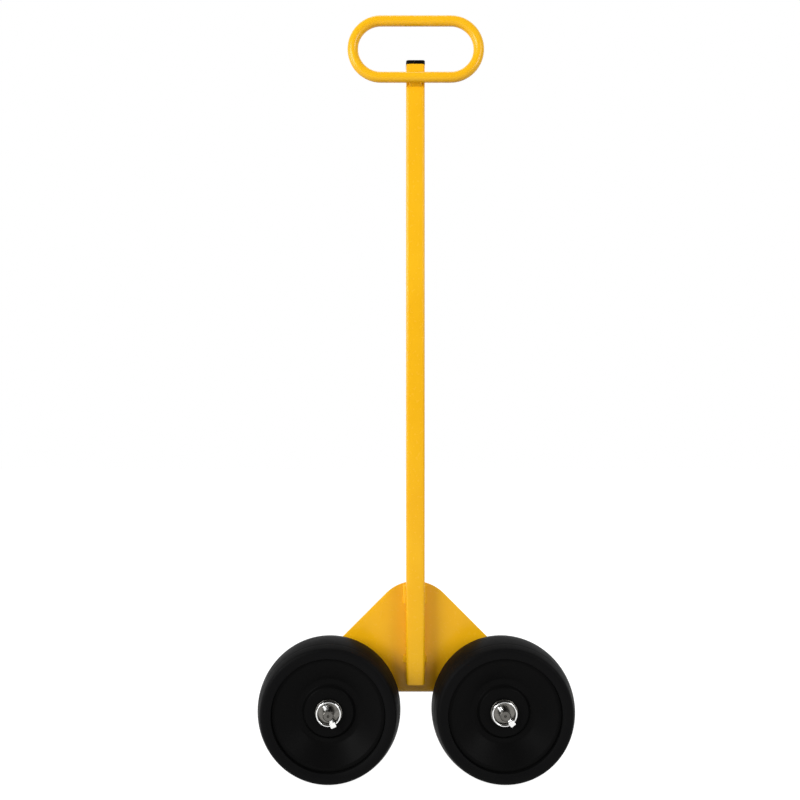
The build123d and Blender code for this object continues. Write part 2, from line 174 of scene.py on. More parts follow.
def gridFaces(rows, columns, wrapRows, wrapColumns):
    # four corners of each cell of a grid, numbered row by row
    i = np.arange(rows if wrapRows else rows - 1)[:, None]
    j = np.arange(columns if wrapColumns else columns - 1)[None, :]
    below, beside = (i + 1) % rows, (j + 1) % columns
    corners = [i * columns + j, i * columns + beside, below * columns + beside, below * columns + j]
    return np.stack([np.broadcast_to(c, (i.size, j.size)) for c in corners], -1).reshape(-1, 4)


def makePiece(name, surfaces, body, nodes, material, sharpAngle=38):
    # Joins surfaces given as (points, wrapRows, wrapColumns), merges their doubles and turns the faces outward
    points, faces, used = [], [], 0
    for grid, wrapRows, wrapColumns in surfaces:
        rows, columns = grid.shape[:2]
        points.append(grid.reshape(-1, 3) * millimetre)
        faces.append(gridFaces(rows, columns, wrapRows, wrapColumns) + used)
        used += rows * columns
    mesh = bpy.data.meshes.new(name)
    mesh.from_pydata(np.concatenate(points).tolist(), [], np.concatenate(faces).tolist())
    work = bmesh.new()
    work.from_mesh(mesh)
    bmesh.ops.remove_doubles(work, verts=work.verts, dist=2e-6)
    bmesh.ops.dissolve_degenerate(work, edges=work.edges, dist=1e-7)
    bmesh.ops.recalc_face_normals(work, faces=work.faces)
    work.to_mesh(mesh)
    work.free()
    mesh.shade_smooth()
    mesh.set_sharp_from_angle(angle=math.radians(sharpAngle))
    mesh.materials.append(material)
    piece = bpy.data.objects.new(name, mesh)
    bpy.context.scene.collection.objects.link(piece)
    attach(piece, body)
    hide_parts(*nodes)
    return piece


# ---- materials ----

def linear(hexColour):
    # sRGB hex to linear light
    channels = np.array([int(hexColour[i:i + 2], 16) for i in (1, 3, 5)]) / 255
    return (*np.where(channels <= 0.04045, channels / 12.92, ((channels + 0.055) / 1.055) ** 2.4), 1.0)


def addNode(tree, kind, settings=None, links=None):
    # adds a node: settings go to its sockets, or to its own options where no socket has the name
    node = tree.nodes.new(kind)
    for name, value in (settings or {}).items():
        if isinstance(name, int) or name in node.inputs:
            node.inputs[name].default_value = value
        else:
            setattr(node, name, value)
    for name, source in (links or {}).items():
        tree.links.new(source, node.inputs[name])
    return node


def startMaterial(name, finish):
    # a material with its shader set, and the object's own coordinates to lay patterns on
    material = bpy.data.materials.new(name)
    material.use_nodes = True
    tree = material.node_tree
    tree.nodes.clear()
    shader = addNode(tree, "ShaderNodeBsdfPrincipled", finish)
    addNode(tree, "ShaderNodeOutputMaterial", links={"Surface": shader.outputs["BSDF"]})
    place = addNode(tree, "ShaderNodeTexCoord").outputs["Object"]
    return material, tree, shader, place


# Polyester powder coat on steel: sprayed and baked, so it flows out glossy with a slight orange peel.
# The real peel is 1 to 3 mm across; it is drawn at 5 mm so that it shows.
powderCoat = {
    "colour": "#FBBE18", "thinColour": "#F6B610", "roughness": (0.22, 0.28),
    "peel": 0.006, "cloud": 0.14, "peelHeight": 0.00001,
}


def makePowderCoat(name, look=powderCoat):
    material, tree, shader, place = startMaterial(name, {"IOR": 1.5, "Specular IOR Level": 0.3})
    cloud = addNode(tree, "ShaderNodeTexNoise", {"Scale": 1 / look["cloud"], "Detail": 3.0}, {"Vector": place})
    peel = addNode(tree, "ShaderNodeTexNoise", {"Scale": 1 / look["peel"], "Detail": 1.0}, {"Vector": place})
    share = addNode(tree, "ShaderNodeMapRange", {"From Min": 0.35, "From Max": 0.65},
                    {"Value": cloud.outputs["Fac"]})
    tint = addNode(tree, "ShaderNodeMix", {"data_type": "RGBA", 6: linear(look["colour"]), 7: linear(look["thinColour"])},
                   {0: share.outputs["Result"]})
    gloss = addNode(tree, "ShaderNodeMapRange",
                    {"From Min": 0.3, "From Max": 0.7, "To Min": look["roughness"][0], "To Max": look["roughness"][1]},
                    {"Value": peel.outputs["Fac"]})
    bump = addNode(tree, "ShaderNodeBump", {"Strength": 0.3, "Distance": look["peelHeight"]},
                   {"Height": peel.outputs["Fac"]})
    tree.links.new(tint.outputs[2], shader.inputs["Base Color"])
    tree.links.new(gloss.outputs["Result"], shader.inputs["Roughness"])
    tree.links.new(bump.outputs["Normal"], shader.inputs["Normal"])
    return material


# Moulded black polymers: the grain comes from the mould's blasted wall, 0.1 to 0.3 mm in truth and drawn
# coarser so that it shows; the cloud is the faint bloom of filler and release agent on the skin
def makeMoulded(name, look):
    material, tree, shader, place = startMaterial(name, {"IOR": look["ior"], "Specular IOR Level": look["specular"]})
    cloud = addNode(tree, "ShaderNodeTexNoise", {"Scale": 1 / look["cloud"], "Detail": 4.0, "Roughness": 0.6},
                    {"Vector": place})
    grain = addNode(tree, "ShaderNodeTexNoise", {"Scale": 1 / look["grain"], "Detail": 2.0}, {"Vector": place})
    tint = addNode(tree, "ShaderNodeMix", {"data_type": "RGBA", 6: linear(look["colour"]), 7: linear(look["bloom"])},
                   {0: cloud.outputs["Fac"]})
    gloss = addNode(tree, "ShaderNodeMapRange",
                    {"From Min": 0.3, "From Max": 0.7, "To Min": look["roughness"][0], "To Max": look["roughness"][1]},
                    {"Value": cloud.outputs["Fac"]})
    bump = addNode(tree, "ShaderNodeBump", {"Strength": look["bump"], "Distance": look["depth"]},
                   {"Height": grain.outputs["Fac"]})
    tree.links.new(tint.outputs[2], shader.inputs["Base Color"])
    tree.links.new(gloss.outputs["Result"], shader.inputs["Roughness"])
    tree.links.new(bump.outputs["Normal"], shader.inputs["Normal"])
    return material


# Zinc plate over steel: a slightly milky mirror, with faint clouds from the plating bath. Drawn wire comes out
# bright, and stamped washers duller and greyer.
zincPlate = {"colour": "#F0F0EE", "dullColour": "#D8D9D8", "roughness": (0.1, 0.2), "cloud": 0.009, "pit": 0.003}
dullZincPlate = {"colour": "#7C7A75", "dullColour": "#5E5C58", "roughness": (0.2, 0.34), "cloud": 0.006, "pit": 0.002}


def makeZincPlate(name, look):
    material, tree, shader, place = startMaterial(name, {"Metallic": 1.0})
    cloud = addNode(tree, "ShaderNodeTexNoise", {"Scale": 1 / look["cloud"], "Detail": 3.0}, {"Vector": place})
    pit = addNode(tree, "ShaderNodeTexNoise", {"Scale": 1 / look["pit"], "Detail": 2.0}, {"Vector": place})
    tint = addNode(tree, "ShaderNodeMix", {"data_type": "RGBA", 6: linear(look["colour"]), 7: linear(look["dullColour"])},
                   {0: cloud.outputs["Fac"]})
    gloss = addNode(tree, "ShaderNodeMapRange",
                    {"From Min": 0.3, "From Max": 0.7, "To Min": look["roughness"][0], "To Max": look["roughness"][1]},
                    {"Value": cloud.outputs["Fac"]})
    bump = addNode(tree, "ShaderNodeBump", {"Strength": 0.15, "Distance": 0.00002}, {"Height": pit.outputs["Fac"]})
    tree.links.new(tint.outputs[2], shader.inputs["Base Color"])
    tree.links.new(gloss.outputs["Result"], shader.inputs["Roughness"])
    tree.links.new(bump.outputs["Normal"], shader.inputs["Normal"])
    return material


# Turned or ground steel: rings about the axle from the lathe's feed, 0.2 mm in truth and drawn at 0.9 mm,
# with a grey oil film
turnedSteel = {"colour": "#6E6C68", "dullColour": "#53514D", "roughness": (0.24, 0.38), "ring": 0.0009}


def makeTurnedSteel(name, middle, look=turnedSteel):
    material, tree, shader, place = startMaterial(name, {"Metallic": 1.0})
    centred = addNode(tree, "ShaderNodeMapping", {"vector_type": "TEXTURE", "Location": tuple(middle)},
                      {"Vector": place})
    rings = addNode(tree, "ShaderNodeTexWave",
                    {"wave_type": "RINGS", "rings_direction": "Y", "Scale": 2 * math.pi / 20 / look["ring"],
                     "Distortion": 0.4, "Detail": 1.0},
                    {"Vector": centred.outputs["Vector"]})
    film = addNode(tree, "ShaderNodeTexNoise", {"Scale": 250.0, "Detail": 3.0}, {"Vector": place})
    tint = addNode(tree, "ShaderNodeMix", {"data_type": "RGBA", 6: linear(look["colour"]), 7: linear(look["dullColour"])},
                   {0: film.outputs["Fac"]})
    gloss = addNode(tree, "ShaderNodeMapRange", {"To Min": look["roughness"][0], "To Max": look["roughness"][1]},
                    {"Value": rings.outputs["Fac"]})
    bump = addNode(tree, "ShaderNodeBump", {"Strength": 0.35, "Distance": 0.00004}, {"Height": rings.outputs["Fac"]})
    tree.links.new(tint.outputs[2], shader.inputs["Base Color"])
    tree.links.new(gloss.outputs["Result"], shader.inputs["Roughness"])
    tree.links.new(bump.outputs["Normal"], shader.inputs["Normal"])
    return material


yellowCoat = makePowderCoat("glossy_yellow_powder_coat")
# solid rubber tyre: matt skin, brown-grey bloom
blackRubber = makeMoulded("moulded_black_rubber", {
    "colour": "#0A0A0B", "bloom": "#0F0F0F", "ior": 1.5, "specular": 0.04, "roughness": (0.44, 0.56),
    "cloud": 0.03, "grain": 0.0022, "bump": 0.35, "depth": 0.00012,
})
# moulded polypropylene wheel centre: a little glossier than the tyre
blackPlastic = makeMoulded("moulded_black_polypropylene", {
    "colour": "#0A0A0A", "bloom": "#0F0F0F", "ior": 1.49, "specular": 0.025, "roughness": (0.34, 0.42),
    "cloud": 0.05, "grain": 0.003, "bump": 0.2, "depth": 0.00008,
})
# moulded polyethylene tube plug
capPlastic = makeMoulded("moulded_black_polyethylene", {
    "colour": "#090808", "bloom": "#0D0C0B", "ior": 1.51, "specular": 0.08, "roughness": (0.36, 0.48),
    "cloud": 0.02, "grain": 0.0025, "bump": 0.25, "depth": 0.00008,
})
zinc = makeZincPlate("bright_zinc_plate", zincPlate)
dullZinc = makeZincPlate("dull_zinc_plate", dullZincPlate)
steels = {side: makeTurnedSteel(f"turned_steel_{side}", nodeMiddle(f"{side}_tyre") * millimetre) for side in sides}
print("materials made")


# ---- tyres and wheel centres ----

# (half width, radius) of the tyre's section, outside first
tyre = {
    "halfWidth": 44.0, "edgeRadius": 117.5, "treadRadius": 127.0, "edgeRound": 7.0, "flatFoot": 108.0,
    "sideRound": 20.0, "foot": (41.0, 99.8), "footRound": 1.5, "seat": (31.0, 92.0),
    "seams": (0.0, 29.0), "seamWidth": 0.9, "seamDepth": 0.35, "steps": 224,
}


def tyreProfile(look):
    # The crown is an arc through the tread's top and both edges. Each seam in it dips by a bell curve.
    sag = look["treadRadius"] - look["edgeRadius"]
    crownRadius = (look["halfWidth"] ** 2 + sag ** 2) / (2 * sag)
    depth = np.linspace(-look["halfWidth"] + 7, look["halfWidth"] - 7, 75)
    radius = look["treadRadius"] - crownRadius + np.sqrt(crownRadius ** 2 - depth ** 2)
    for seam in look["seams"]:
        radius = radius - look["seamDepth"] * np.exp(-((np.abs(depth) - seam) / look["seamWidth"]) ** 2)
    crown = list(zip(depth, radius))
    half = [
        ((look["halfWidth"], look["edgeRadius"]), look["edgeRound"]),
        ((look["halfWidth"], look["flatFoot"]), look["sideRound"]),
        (look["foot"], look["footRound"]),
        ((look["seat"][0], look["foot"][1]), 0),
        (look["seat"], 0),
    ]
    corners = crown + [point for point, _ in half] + [(-point[0], point[1]) for point, _ in half[::-1]]
    radii = [0] * len(crown) + [r for _, r in half] + [r for _, r in half[::-1]]
    return roundCorners(corners, radii, closed=True)


wheelCentre = {
    "rimHalf": 31.0, "seatRadius": 92.0, "rimRadius": 99.3, "flange": 34.0, "flangeFace": 92.5, "flangeRound": 3.0,
    "webDepth": 13.0, "webInner": 56.0, "dishRound": 14.0, "bossRoot": 47.5, "bossFace": 43.0, "bossRound": 3.5,
    "hubFront": 20.0, "hubBack": 30.0, "bore": 17.4625, "boreMiddle": 14.9625, "bearing": 12.7,
    "backBoss": 30.0, "webThickness": 11.0, "barrelInner": 84.0, "barrelWebDepth": 29.11,
    "ribs": 8, "ribHalf": 2.0, "ribInset": 8.0, "steps": 192,
}


def wheelCentreProfile(look):
    outline = [
        ((-look["rimHalf"], look["seatRadius"]), 0),
        ((-look["rimHalf"], look["rimRadius"]), 0),
        ((-look["flange"], look["rimRadius"]), 0.6),
        ((-look["flange"], look["flangeFace"]), look["flangeRound"]),
        ((-look["webDepth"], look["webInner"]), look["dishRound"]),
        ((-look["webDepth"], look["bossRoot"]), look["bossRound"]),
        ((-look["hubFront"], look["bossFace"]), look["bossRound"]),
        ((-look["hubFront"], look["bore"]), 0.5),
        ((look["bearing"] - look["hubFront"], look["bore"]), 0),
        ((look["bearing"] - look["hubFront"], look["boreMiddle"]), 0),
        ((look["hubBack"] - look["bearing"], look["boreMiddle"]), 0),
        ((look["hubBack"] - look["bearing"], look["bore"]), 0),
        ((look["hubBack"], look["bore"]), 0.5),
        ((look["hubBack"], look["backBoss"]), 1.0),
        ((look["webThickness"] - look["webDepth"], look["backBoss"]), 2.0),
        ((look["webThickness"] - look["webDepth"], look["webInner"]), 4.0),
        ((look["webThickness"] - look["barrelWebDepth"], look["barrelInner"]), 2.0),
        ((look["flange"], look["barrelInner"]), 1.0),
        ((look["flange"], look["rimRadius"]), 0.6),
        ((look["rimHalf"], look["rimRadius"]), 0),
        ((look["rimHalf"], look["seatRadius"]), 0),
    ]
    return roundCorners([point for point, _ in outline], [r for _, r in outline], closed=True)


def ribSurface(look, centre, turned):
    # The rib's flat outline, moved half its thickness each way along the wheel's turning, and closed to its middle
    root = look["webThickness"] / 2
    outline = roundCorners(
        [
            (root - look["webDepth"], look["backBoss"] - 4),
            (root - look["webDepth"], look["webInner"]),
            (root - look["barrelWebDepth"], look["barrelInner"] + 4),
            (look["flange"] - look["ribInset"], look["barrelInner"] + 4),
            (look["hubBack"] - look["ribInset"], look["backBoss"] - 4),
        ],
        [0, 0, 0, 0.5, 0.5], closed=True,
    )
    middle = np.broadcast_to(outline.mean(0), outline.shape)
    loops = np.stack([middle, outline, outline, middle])
    half = np.array([-1, -1, 1, 1])[:, None] * look["ribHalf"]
    outward = np.array([math.cos(turned), 0, math.sin(turned)])
    sideways = np.array([-math.sin(turned), 0, math.cos(turned)])
    depth = loops[..., :1] * np.array([0, 1, 0])
    return centre + depth + loops[..., 1:] * outward + half[..., None] * sideways


for side in sides:
    centre = nodeMiddle(f"{side}_tyre")
    makePiece(f"{side}_solid_tyre", [(turnedSurface(tyreProfile(tyre), centre, (0, 1, 0), tyre["steps"]), True, True)],
              f"{side}_wheel", [f"{side}_tyre"], blackRubber, sharpAngle=50)
    surfaces = [(turnedSurface(wheelCentreProfile(wheelCentre), centre, (0, 1, 0), wheelCentre["steps"]), True, True)]
    for index in range(wheelCentre["ribs"]):
        turned = 2 * math.pi * index / wheelCentre["ribs"]
        surfaces.append((ribSurface(wheelCentre, centre, turned), False, True))
    makePiece(f"{side}_moulded_centre", surfaces, f"{side}_wheel", [f"{side}_wheel_centre"],
              blackPlastic, sharpAngle=50)
print("wheels made")


# ---- axle hardware ----

washer = {"innerRadius": 9.575, "round": 0.6, "steps": 96}
lynchPin = {
    "shankRadius": 4.7625, "tipReach": 18.3, "tipChamfer": 2.5, "headReach": 19.87,
    "headHalfLength": 5.0, "headHalfWidth": 5.5, "headHalfDepth": 4.75, "headCorner": 2.0, "headRound": 1.0,
}
lynchRing = {"ringRadius": 20.7, "wireRadius": 1.8, "pegReach": 2.0, "pegBend": 5.8}
pinAngles = {"left": -66.0, "right": -51.0}


def washerProfile(low, high, outerRadius, look):
    corners = [(low, look["innerRadius"]), (high, look["innerRadius"]), (high, outerRadius), (low, outerRadius)]
    return roundCorners(corners, [0.25, 0.25, look["round"], look["round"]], closed=True)


def lynchPinSurfaces(look, centre, along, across):
    # the shank is turned about the pin's line, and the head is a block of rounded loops stacked through its depth
    shank = roundCorners(
        [
            (-look["tipReach"], 0), (-look["tipReach"], look["shankRadius"] - look["tipChamfer"]),
            (look["tipChamfer"] - look["tipReach"], look["shankRadius"]), (look["headReach"], look["shankRadius"]),
            (look["headReach"], 0),
        ],
        [0, 1.2, 2.5, 0, 0],
    )
    edge = look["headRound"]
    bend = np.linspace(0, math.pi / 2, 5)
    inset = edge * (1 - np.sin(bend))
    level = look["headHalfDepth"] - edge * (1 - np.cos(bend))
    inset = np.concatenate([[5.0], inset, inset[::-1], [5.0]])
    level = np.concatenate([[-look["headHalfDepth"]], -level, level[::-1], [look["headHalfDepth"]]])
    rows = np.stack([
        np.maximum(look["headHalfLength"] - inset, 0), np.maximum(look["headHalfWidth"] - inset, 0),
        np.maximum(look["headCorner"] - inset, 0), level,
    ], 1)
    rows[[0, -1], :3] = 0
    head = roundedLoops(rows, centre + along * look["headReach"], along, across, (0, -1, 0))
    return [(turnedSurface(shank, centre, along, 48), False, True), (head, False, True)]


def lynchRingPath(look, centre, along, across):
    # from one peg in the pin's head, round the ring, to the other peg
    half = math.asin(look["pegBend"] / look["ringRadius"])
    angle = np.linspace(half, 2 * math.pi - half, 97)
    arc = look["ringRadius"] * np.stack([np.cos(angle), np.sin(angle)], 1)
    reach = look["ringRadius"] * math.cos(half)
    peg = np.array([[reach, look["pegReach"]], [reach, look["pegReach"]], [reach, look["pegReach"] + 0.4]])
    flat = np.concatenate([peg, arc, (peg * [1, -1])[::-1]])
    radii = np.full(len(flat), look["wireRadius"])
    radii[[0, -1]] = 0
    radii[[1, -2]] = look["wireRadius"] - 0.4
    return centre + flat[:, :1] * along + flat[:, 1:] * across, radii


for side, sign in sides.items():
    low, high = nodeBox(f"{side}_front_washer")
    middle = (low + high) / 2
    profile = washerProfile(low[1] - middle[1], high[1] - middle[1], (high[0] - low[0]) / 2, washer)
    makePiece(f"{side}_plated_washer", [(turnedSurface(profile, middle, (0, 1, 0), washer["steps"]), True, True)],
              "frame", [f"{side}_front_washer"], dullZinc)
    turned = math.radians(pinAngles[side])
    along = np.array([math.cos(turned), 0, math.sin(turned)])
    across = np.array([-math.sin(turned), 0, math.cos(turned)])
    centre = nodeMiddle(f"{side}_tyre")
    centre[1] = nodeMiddle(f"{side}_lynch_ring")[1]
    makePiece(f"{side}_plated_lynch_pin", lynchPinSurfaces(lynchPin, centre, along, across), "frame",
              [f"{side}_lynch_pin"], zinc)
    path, radii = lynchRingPath(lynchRing, centre, along, across)
    makePiece(f"{side}_spring_ring", [(sweptTube(path, radii, (0, -1, 0), 20), False, True)], f"{side}_ring",
              [f"{side}_lynch_ring"], zinc, sharpAngle=50)
print("axle hardware made")


# ---- bed plate ----

bedPlate = {
    "halfLength": 200.0, "thickness": 4.8, "innerBend": 5.0, "apexRound": 75.0, "cornerRise": 37.1,
    "cornerRound": 12.0, "flankAngle": 45.77, "lipCut": 16.0, "edgeRound": 0.7,
}


def bedPlateSurface(look):
    # The plate is drawn flat first: its half width is a function of the distance from the apex, read from its outline.
    # Each row is a rounded strip that wide, and rows are then laid along the bent middle line:
    # point = line + across * X + height * normal
    low, high = nodeBox("bed_plate")
    half, thick = look["halfLength"], look["thickness"]
    bend = look["innerBend"] + thick / 2
    apexRise = high[2] - low[2]
    rise = look["cornerRise"] - (apexRise - look["apexRound"])
    flank = math.atan2(-rise, half) + math.asin(look["apexRound"] / math.hypot(rise, half))
    sharpApex = look["cornerRise"] + half * math.tan(flank)
    outline = roundCorners(
        [(0, sharpApex), (half, look["cornerRise"]), (half, 0)], [0, look["cornerRound"], 0], steps=9)
    onArc = np.linspace(0, flank, 22)
    arc = np.stack([look["apexRound"] * np.sin(onArc), apexRise - look["apexRound"] * (1 - np.cos(onArc))], 1)
    outline = np.concatenate([arc, outline[1:]])
    down = apexRise - outline[:, 1]
    frontRun = apexRise - look["innerBend"] - thick
    floorRun = high[1] - low[1] - 2 * (look["innerBend"] + thick)
    lipRun = 45.0 + thick - (look["innerBend"] + thick)
    arcRun = bend * math.pi / 2
    bounds = np.cumsum([0, frontRun, arcRun, floorRun, arcRun, lipRun])
    edge = look["edgeRound"]
    places = np.unique(np.round(np.concatenate([
        down[down < frontRun], edge * np.array([0, 0.08, 0.3, 0.62, 1.0]), np.linspace(bounds[1], bounds[2], 9),
        np.linspace(bounds[2], bounds[3], 5), np.linspace(bounds[3], bounds[4], 9),
        bounds[5] - edge * np.array([0, 0.08, 0.3, 0.62, 1.0]), [bounds[5] - look["lipCut"]],
        np.linspace(bounds[5] - look["lipCut"], bounds[5] - edge, 4),
    ]), 5))
    width = np.interp(places, down, outline[:, 0])
    nearTop = places < edge
    width[nearTop] = np.sqrt(np.maximum(look["apexRound"] ** 2 - (look["apexRound"] - places[nearTop]) ** 2, 0))
    width = np.minimum(width, half - np.maximum(0, places - (bounds[5] - look["lipCut"])))
    fromEnd = np.clip(np.minimum(places, bounds[5] - places) / edge, 0, 1)
    halfThick = thick / 2 - edge * (1 - np.sqrt(1 - (1 - fromEnd) ** 2))
    # the middle line, its normal towards the plate's outer face
    turn = np.clip((places - bounds[1]) / arcRun, 0, 1) + np.clip((places - bounds[3]) / arcRun, 0, 1)
    turn = turn * math.pi / 2
    y0, z0 = low[1] + thick / 2, high[2]
    firstArc = np.clip(places - bounds[1], 0, arcRun) / arcRun * math.pi / 2
    secondArc = np.clip(places - bounds[3], 0, arcRun) / arcRun * math.pi / 2
    lineY = y0 + bend * (1 - np.cos(firstArc)) + np.clip(places - bounds[2], 0, floorRun) + bend * np.sin(secondArc)
    lineZ = (z0 - np.clip(places, 0, frontRun) - bend * np.sin(firstArc) + bend * (1 - np.cos(secondArc))
             + np.clip(places - bounds[4], 0, lipRun))
    normalY, normalZ = -np.cos(turn), -np.sin(turn)
    # the strip's section: outer face, rounded edge, inner face, rounded edge
    roundness = np.minimum(edge, np.minimum(halfThick, width))
    share = np.linspace(-1, 1, 13)
    quarter = np.linspace(0, math.pi / 2, 5)
    flatX = (width - roundness)[:, None] * share
    outerEdgeX = (width - roundness)[:, None] + roundness[:, None] * np.sin(quarter)
    outerEdgeN = (halfThick - roundness)[:, None] + roundness[:, None] * np.cos(quarter)
    across = np.hstack([flatX, outerEdgeX[:, 1:], outerEdgeX[:, ::-1][:, :-1], flatX[:, ::-1],
                        -outerEdgeX[:, 1:], -outerEdgeX[:, ::-1][:, :-1]])
    height = np.hstack([
        np.repeat(halfThick[:, None], 13, 1), outerEdgeN[:, 1:], -outerEdgeN[:, ::-1][:, :-1],
        np.repeat(-halfThick[:, None], 13, 1), -outerEdgeN[:, 1:], outerEdgeN[:, ::-1][:, :-1],
    ])
    rows = np.stack([
        across, lineY[:, None] + height * normalY[:, None], lineZ[:, None] + height * normalZ[:, None],
    ], -1)
    # both ends close on the row's own middle line
    ends = rows[[0, -1]].copy()
    ends[..., 1] = lineY[[0, -1]][:, None]
    ends[..., 2] = lineZ[[0, -1]][:, None]
    return np.concatenate([ends[:1], rows, ends[1:]])


makePiece("bent_bed_plate", [(bedPlateSurface(bedPlate), False, True)], "frame", ["bed_plate"],
          yellowCoat, sharpAngle=40)
print("bed plate made")


# ---- pole, cap and handle ----

pole = {"corner": 4.5, "wall": 2.0, "rimRound": 0.4, "crown": 0.3}
cap = {"corner": 4.5, "edgeRound": 1.5, "stemHalf": 14.8, "stemWall": 2.0, "stemCorner": 2.3, "crown": 0.35}
handle = {"straightHalf": 62.5, "tubeRadius": 9.525, "bendRadius": 50.475}


def poleSurface(look):
    # A rounded square ring carried up the pole: outside from low to high, over the rim, and down the inside.
    # The rolled faces are crowned a little, as a drawn square tube's are.
    low, high = nodeBox("pole")
    half = (high[0] - low[0]) / 2 - look["crown"]
    rim = look["rimRound"]
    bend = np.linspace(0, math.pi / 2, 4)
    outerInset, outerDrop = rim * (1 - np.cos(bend)), rim * (1 - np.sin(bend))
    innerInset = look["wall"] - outerInset[::-1]
    levels = np.linspace(low[2] + rim, high[2] - rim, 12)
    inset = np.concatenate([np.zeros(12), outerInset[1:], innerInset, np.full(12, look["wall"])[1:],
                            innerInset[::-1][1:], outerInset[::-1][:-1]])
    level = np.concatenate([levels, high[2] - outerDrop[1:], high[2] - outerDrop[::-1], levels[::-1][1:],
                            low[2] + outerDrop[1:], low[2] + outerDrop[::-1][:-1]])
    rows = np.stack([half - inset, half - inset, look["corner"] - inset, level], 1)
    middle = (low + high) / 2 * [1, 1, 0]
    return roundedLoops(rows, middle, (1, 0, 0), (0, 1, 0), (0, 0, 1), crown=look["crown"])


def capSurface(look):
    # the stem's inside, its rim, its outside, the head's underside, wall, rounded edge and crowned top
    low, high = nodeBox("pole_cap")
    half = (high[0] - low[0]) / 2
    poleTop = nodeBox("pole")[1][2]
    bend = np.linspace(0, math.pi / 2, 7)
    edge = look["edgeRound"]
    top = high[2] - look["crown"]
    stem, inner = look["stemHalf"], look["stemHalf"] - look["stemWall"]
    rows = [
        (0, 0, 0, poleTop - 0.5), (inner, inner, 0.4, poleTop - 0.5), (inner, inner, 0.4, low[2]),
        (stem, stem, look["stemCorner"], low[2]), (stem, stem, look["stemCorner"], poleTop),
        (half, half, look["corner"], poleTop),
    ]
    rows += [
        (half - edge * (1 - math.cos(a)), half - edge * (1 - math.cos(a)), look["corner"] - edge * (1 - math.cos(a)),
         top - edge * (1 - math.sin(a))) for a in bend
    ]
    crownShare = np.linspace(0.85, 0, 5)
    rows += [
        ((half - edge) * s, (half - edge) * s, (look["corner"] - edge) * s, top + look["crown"] * (1 - s * s))
        for s in crownShare
    ]
    middle = (low + high) / 2 * [1, 1, 0]
    return roundedLoops(rows, middle, (1, 0, 0), (0, 1, 0), (0, 0, 1))


def handlePath(look):
    # a stadium: two straight bars joined by half circles
    middle = nodeMiddle("handle_loop")
    straight = np.linspace(-look["straightHalf"], look["straightHalf"], 13)[:-1]
    arc = np.linspace(-math.pi / 2, math.pi / 2, 33)[:-1]
    flat = np.concatenate([
        np.stack([straight, np.full(12, -look["bendRadius"])], 1),
        np.stack([look["straightHalf"] + look["bendRadius"] * np.cos(arc), look["bendRadius"] * np.sin(arc)], 1),
        np.stack([-straight, np.full(12, look["bendRadius"])], 1),
        -np.stack([look["straightHalf"] + look["bendRadius"] * np.cos(arc), look["bendRadius"] * np.sin(arc)], 1),
    ])
    return middle + flat[:, :1] * [1, 0, 0] + flat[:, 1:] * [0, 0, 1]


makePiece("square_push_pole", [(poleSurface(pole), True, True)], "frame", ["pole"], yellowCoat)
makePiece("moulded_tube_plug", [(capSurface(cap), False, True)], "frame", ["pole_cap"], capPlastic)
loopLine = handlePath(handle)
loopRadii = np.full(len(loopLine), handle["tubeRadius"])
makePiece("bent_tube_handle", [(sweptTube(loopLine, loopRadii, (0, -1, 0), 32, closed=True), True, True)], "frame",
          ["handle_loop"], yellowCoat)
print("pole, cap and handle made")


# ---- welds ----

poleWeld = {"leg": 5.0, "runs": ((300.2, 338.2), (192.0, 208.0)), "swell": 0.8}
handleWeld = {"leg": 4.0, "halfLength": 12.5, "swell": 0.7}
axleWeld = {"leg": 6.0, "length": 32.0, "swell": 0.9}

poleLow, poleHigh = nodeBox("pole")
beads = []
for sign in sides.values():
    corner = np.array([sign * poleHigh[0], poleHigh[1], 0])
    for bottom, top in poleWeld["runs"]:
        beads.append((weldBead(
            corner + [0, 0, bottom], corner + [0, 0, top], (sign * poleWeld["leg"], 0, 0), (0, -poleWeld["leg"], 0),
            (-sign * 3.0, 0.2, 0), poleWeld["swell"]), False, True))
makePiece("pole_weld_beads", beads, "frame", ["pole_welds"], yellowCoat, sharpAngle=60)

barMiddle = nodeMiddle("handle_loop") - [0, 0, handle["bendRadius"]]
beads = []
for above in (-1, 1):
    touch = np.array([0, poleLow[1], barMiddle[2]])
    reach = handle["tubeRadius"] + handleWeld["leg"]
    beads.append((weldBead(
        touch - [handleWeld["halfLength"], 0, 0], touch + [handleWeld["halfLength"], 0, 0],
        (0, 0, above * reach), (0, -handle["tubeRadius"], above * handle["tubeRadius"]), (0, -0.5, above * 3.0),
        handleWeld["swell"] - 1.2), False, True))
makePiece("handle_weld_beads", beads, "frame", ["handle_welds"], yellowCoat, sharpAngle=60)

for side in sides:
    centre = nodeMiddle(f"{side}_tyre")
    low, high = nodeBox(f"{side}_axle_welds")
    beads = []
    for edge in (-1, 1):
        for front in (low[1], high[1] - axleWeld["length"]):
            start = np.array([centre[0], front, centre[2]])
            beads.append((weldBead(
                start, start + [0, axleWeld["length"], 0],
                (edge * (9.525 + axleWeld["leg"]), 0, 9.525), (edge * 9.525, 0, 0), (edge * 2.0, 0, 8.0),
                axleWeld["swell"] - 1.0), False, True))
    makePiece(f"{side}_axle_weld_beads", beads, "frame", [f"{side}_axle_welds"], yellowCoat,
              sharpAngle=60)
print("welds made")


# ---- pieces that stay as they are drawn ----

keptFinishes = {
    "axle": steels, "axle_collar": yellowCoat, "back_washer": dullZinc, "bearing_spacer": steels,
    "front_inner_race": steels, "back_inner_race": steels, "front_outer_race": steels, "back_outer_race": steels,
    "front_balls": steels, "back_balls": steels,
}
for side in sides:
    for node, finish in keptFinishes.items():
        finish = finish[side] if isinstance(finish, dict) else finish
        for slot in frame["nodes"][f"{side}_{node}"].material_slots:
            slot.material = finish
print("kept pieces finished")


# ---- stage, light and camera ----

